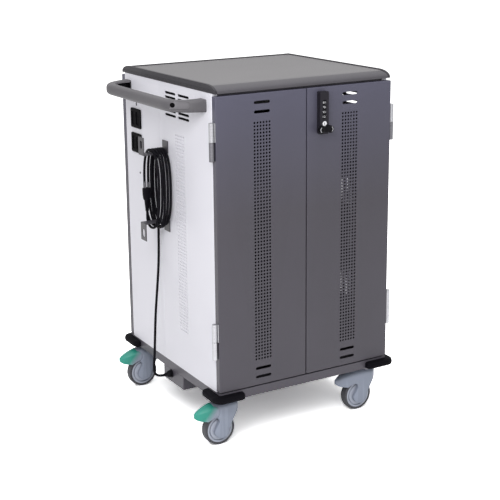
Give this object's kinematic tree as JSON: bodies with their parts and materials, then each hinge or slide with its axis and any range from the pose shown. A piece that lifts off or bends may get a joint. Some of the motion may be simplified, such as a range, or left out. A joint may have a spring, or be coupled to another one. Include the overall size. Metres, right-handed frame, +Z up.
{
  "type": "laptop charging cart",
  "caption": "Upright steel charging cart for laptops: perforated double doors with a combination lock, divided shelves, side push handle, wound mains cord and swivel casters with brake pedals.",
  "frame": {"origin": "centre of the cart's footprint at floor level, with the free cord left out", "axes": "+Z up; -Y towards the front doors; +X to the right as seen from the front, so the push handle and cord are at -X"},
  "size_m": [0.7288, 0.6776, 1.089],
  "materials": {
    "charcoal_paint": "fine-textured dark grey powder coat",
    "white_paint": "fine-textured white powder coat",
    "worktop_grey": "satin mid grey moulding",
    "bright_steel": "zinc-plated",
    "black_plastic": "fine matt moulding",
    "bumper_rubber": "matt",
    "tread": "soft dark grey rubber",
    "caster_grey": "satin cool grey moulding",
    "pedal_green": "satin blue-green moulding",
    "grip_grey": "satin grey moulding",
    "bracket_grey": "dark powder coat",
    "cord_rubber": "matt jacket"
  },
  "bodies": {
    "cabinet": {"base_frame": "charcoal_paint", "base_beam": "charcoal_paint", "bumper_front_left": "bumper_rubber", "bumper_front_right": "bumper_rubber", "bumper_rear_left": "bumper_rubber", "bumper_rear_right": "bumper_rubber", "side_panel_left": "white_paint", "side_panel_right": "white_paint", "power_outlet_upper": "black_plastic", "power_outlet_lower": "black_plastic", "push_handle": "grip_grey", "cord_hook_upper": "bracket_grey", "cord_hook_lower": "bracket_grey", "cord_gland": "black_plastic", "cord_hank": "cord_rubber", "cord_run": "cord_rubber", "mains_plug": "black_plastic", "bulkhead": "white_paint", "shelf_lower": "bracket_grey", "shelf_middle": "bracket_grey", "shelf_upper": "bracket_grey", "outlet_rail_lower": "black_plastic", "outlet_rail_middle": "black_plastic", "outlet_rail_upper": "black_plastic", "worktop": "worktop_grey", "hinge_fixed_left_lower": "bright_steel", "hinge_fixed_left_upper": "bright_steel", "hinge_fixed_right_lower": "bright_steel", "hinge_fixed_right_upper": "bright_steel", "hinge_fixed_rear_lower": "bright_steel", "hinge_fixed_rear_upper": "bright_steel"},
    "door_left": {"door_left": "charcoal_paint", "hinge_door_left_lower": "bright_steel", "hinge_door_left_upper": "bright_steel"},
    "door_right": {"door_right": "charcoal_paint", "hinge_door_right_lower": "bright_steel", "hinge_door_right_upper": "bright_steel", "lock_body": "black_plastic"},
    "door_rear": {"door_rear": "charcoal_paint"},
    "lock_knob": {"lock_knob": "black_plastic"},
    "lock_cylinder": {"lock_cylinder": "bright_steel"},
    "lock_dial_1": {"lock_dial_1": "black_plastic"},
    "lock_dial_2": {"lock_dial_2": "black_plastic"},
    "lock_dial_3": {"lock_dial_3": "black_plastic"},
    "lock_dial_4": {"lock_dial_4": "black_plastic"},
    "caster_front_left": {"caster_fork_front_left": "caster_grey"},
    "wheel_front_left": {"wheel_hub_front_left": "caster_grey", "tyre_front_left": "tread"},
    "caster_front_right": {"caster_fork_front_right": "caster_grey"},
    "wheel_front_right": {"wheel_hub_front_right": "caster_grey", "tyre_front_right": "tread"},
    "caster_rear_left": {"caster_fork_rear_left": "caster_grey"},
    "wheel_rear_left": {"wheel_hub_rear_left": "caster_grey", "tyre_rear_left": "tread"},
    "caster_rear_right": {"caster_fork_rear_right": "caster_grey"},
    "wheel_rear_right": {"wheel_hub_rear_right": "caster_grey", "tyre_rear_right": "tread"},
    "pedal_front_left": {"brake_pedal_front_left": "pedal_green"},
    "pedal_rear_left": {"brake_pedal_rear_left": "pedal_green"}
  },
  "joints": [
    {"name": "door_left_hinge", "type": "hinge", "parent": "cabinet", "child": "door_left", "pos_m": [-0.27387, -0.2985, 0.618], "axis": [0, 0, -1], "range_deg": [0, 180]},
    {"name": "door_right_hinge", "type": "hinge", "parent": "cabinet", "child": "door_right", "pos_m": [0.35013, -0.2985, 0.618], "axis": [0, 0, 1], "range_deg": [0, 180]},
    {"name": "door_rear_hinge", "type": "hinge", "parent": "cabinet", "child": "door_rear", "pos_m": [0.35013, 0.3055, 0.618], "axis": [0, 0, -1], "range_deg": [0, 180]},
    {"name": "lock_knob_turn", "type": "hinge", "parent": "door_right", "child": "lock_knob", "pos_m": [0.08813, -0.3255, 0.937], "axis": [0, 1, 0], "range_deg": [0, 90]},
    {"name": "lock_cylinder_turn", "type": "hinge", "parent": "door_right", "child": "lock_cylinder", "pos_m": [0.08813, -0.3255, 0.953], "axis": [0, 1, 0], "range_deg": [0, 90]},
    {"name": "lock_dial_1_turn", "type": "hinge", "parent": "door_right", "child": "lock_dial_1", "pos_m": [0.08813, -0.319, 1.015], "axis": [0, 0, 1], "continuous": true},
    {"name": "lock_dial_2_turn", "type": "hinge", "parent": "door_right", "child": "lock_dial_2", "pos_m": [0.08813, -0.319, 1.001], "axis": [0, 0, 1], "continuous": true},
    {"name": "lock_dial_3_turn", "type": "hinge", "parent": "door_right", "child": "lock_dial_3", "pos_m": [0.08813, -0.319, 0.987], "axis": [0, 0, 1], "continuous": true},
    {"name": "lock_dial_4_turn", "type": "hinge", "parent": "door_right", "child": "lock_dial_4", "pos_m": [0.08813, -0.319, 0.973], "axis": [0, 0, 1], "continuous": true},
    {"name": "caster_front_left_swivel", "type": "hinge", "parent": "cabinet", "child": "caster_front_left", "pos_m": [-0.21487, -0.2645, 0.14], "axis": [0, 0, 1], "continuous": true},
    {"name": "caster_front_right_swivel", "type": "hinge", "parent": "cabinet", "child": "caster_front_right", "pos_m": [0.29113, -0.2645, 0.14], "axis": [0, 0, 1], "continuous": true},
    {"name": "caster_rear_left_swivel", "type": "hinge", "parent": "cabinet", "child": "caster_rear_left", "pos_m": [-0.21487, 0.2715, 0.14], "axis": [0, 0, 1], "continuous": true},
    {"name": "caster_rear_right_swivel", "type": "hinge", "parent": "cabinet", "child": "caster_rear_right", "pos_m": [0.29113, 0.2715, 0.14], "axis": [0, 0, 1], "continuous": true},
    {"name": "wheel_front_left_roll", "type": "hinge", "parent": "caster_front_left", "child": "wheel_front_left", "pos_m": [-0.24887, -0.2645, 0.05], "axis": [0, 1, 0], "continuous": true},
    {"name": "wheel_front_right_roll", "type": "hinge", "parent": "caster_front_right", "child": "wheel_front_right", "pos_m": [0.25713, -0.2645, 0.05], "axis": [0, 1, 0], "continuous": true},
    {"name": "wheel_rear_left_roll", "type": "hinge", "parent": "caster_rear_left", "child": "wheel_rear_left", "pos_m": [-0.24887, 0.2715, 0.05], "axis": [0, 1, 0], "continuous": true},
    {"name": "wheel_rear_right_roll", "type": "hinge", "parent": "caster_rear_right", "child": "wheel_rear_right", "pos_m": [0.25713, 0.2715, 0.05], "axis": [0, 1, 0], "continuous": true},
    {"name": "pedal_front_left_press", "type": "hinge", "parent": "caster_front_left", "child": "pedal_front_left", "pos_m": [-0.27287, -0.2645, 0.112], "axis": [0, -1, 0], "range_deg": [0, 12]},
    {"name": "pedal_rear_left_press", "type": "hinge", "parent": "caster_rear_left", "child": "pedal_rear_left", "pos_m": [-0.27287, 0.2715, 0.112], "axis": [0, -1, 0], "range_deg": [0, 12]}
  ]
}
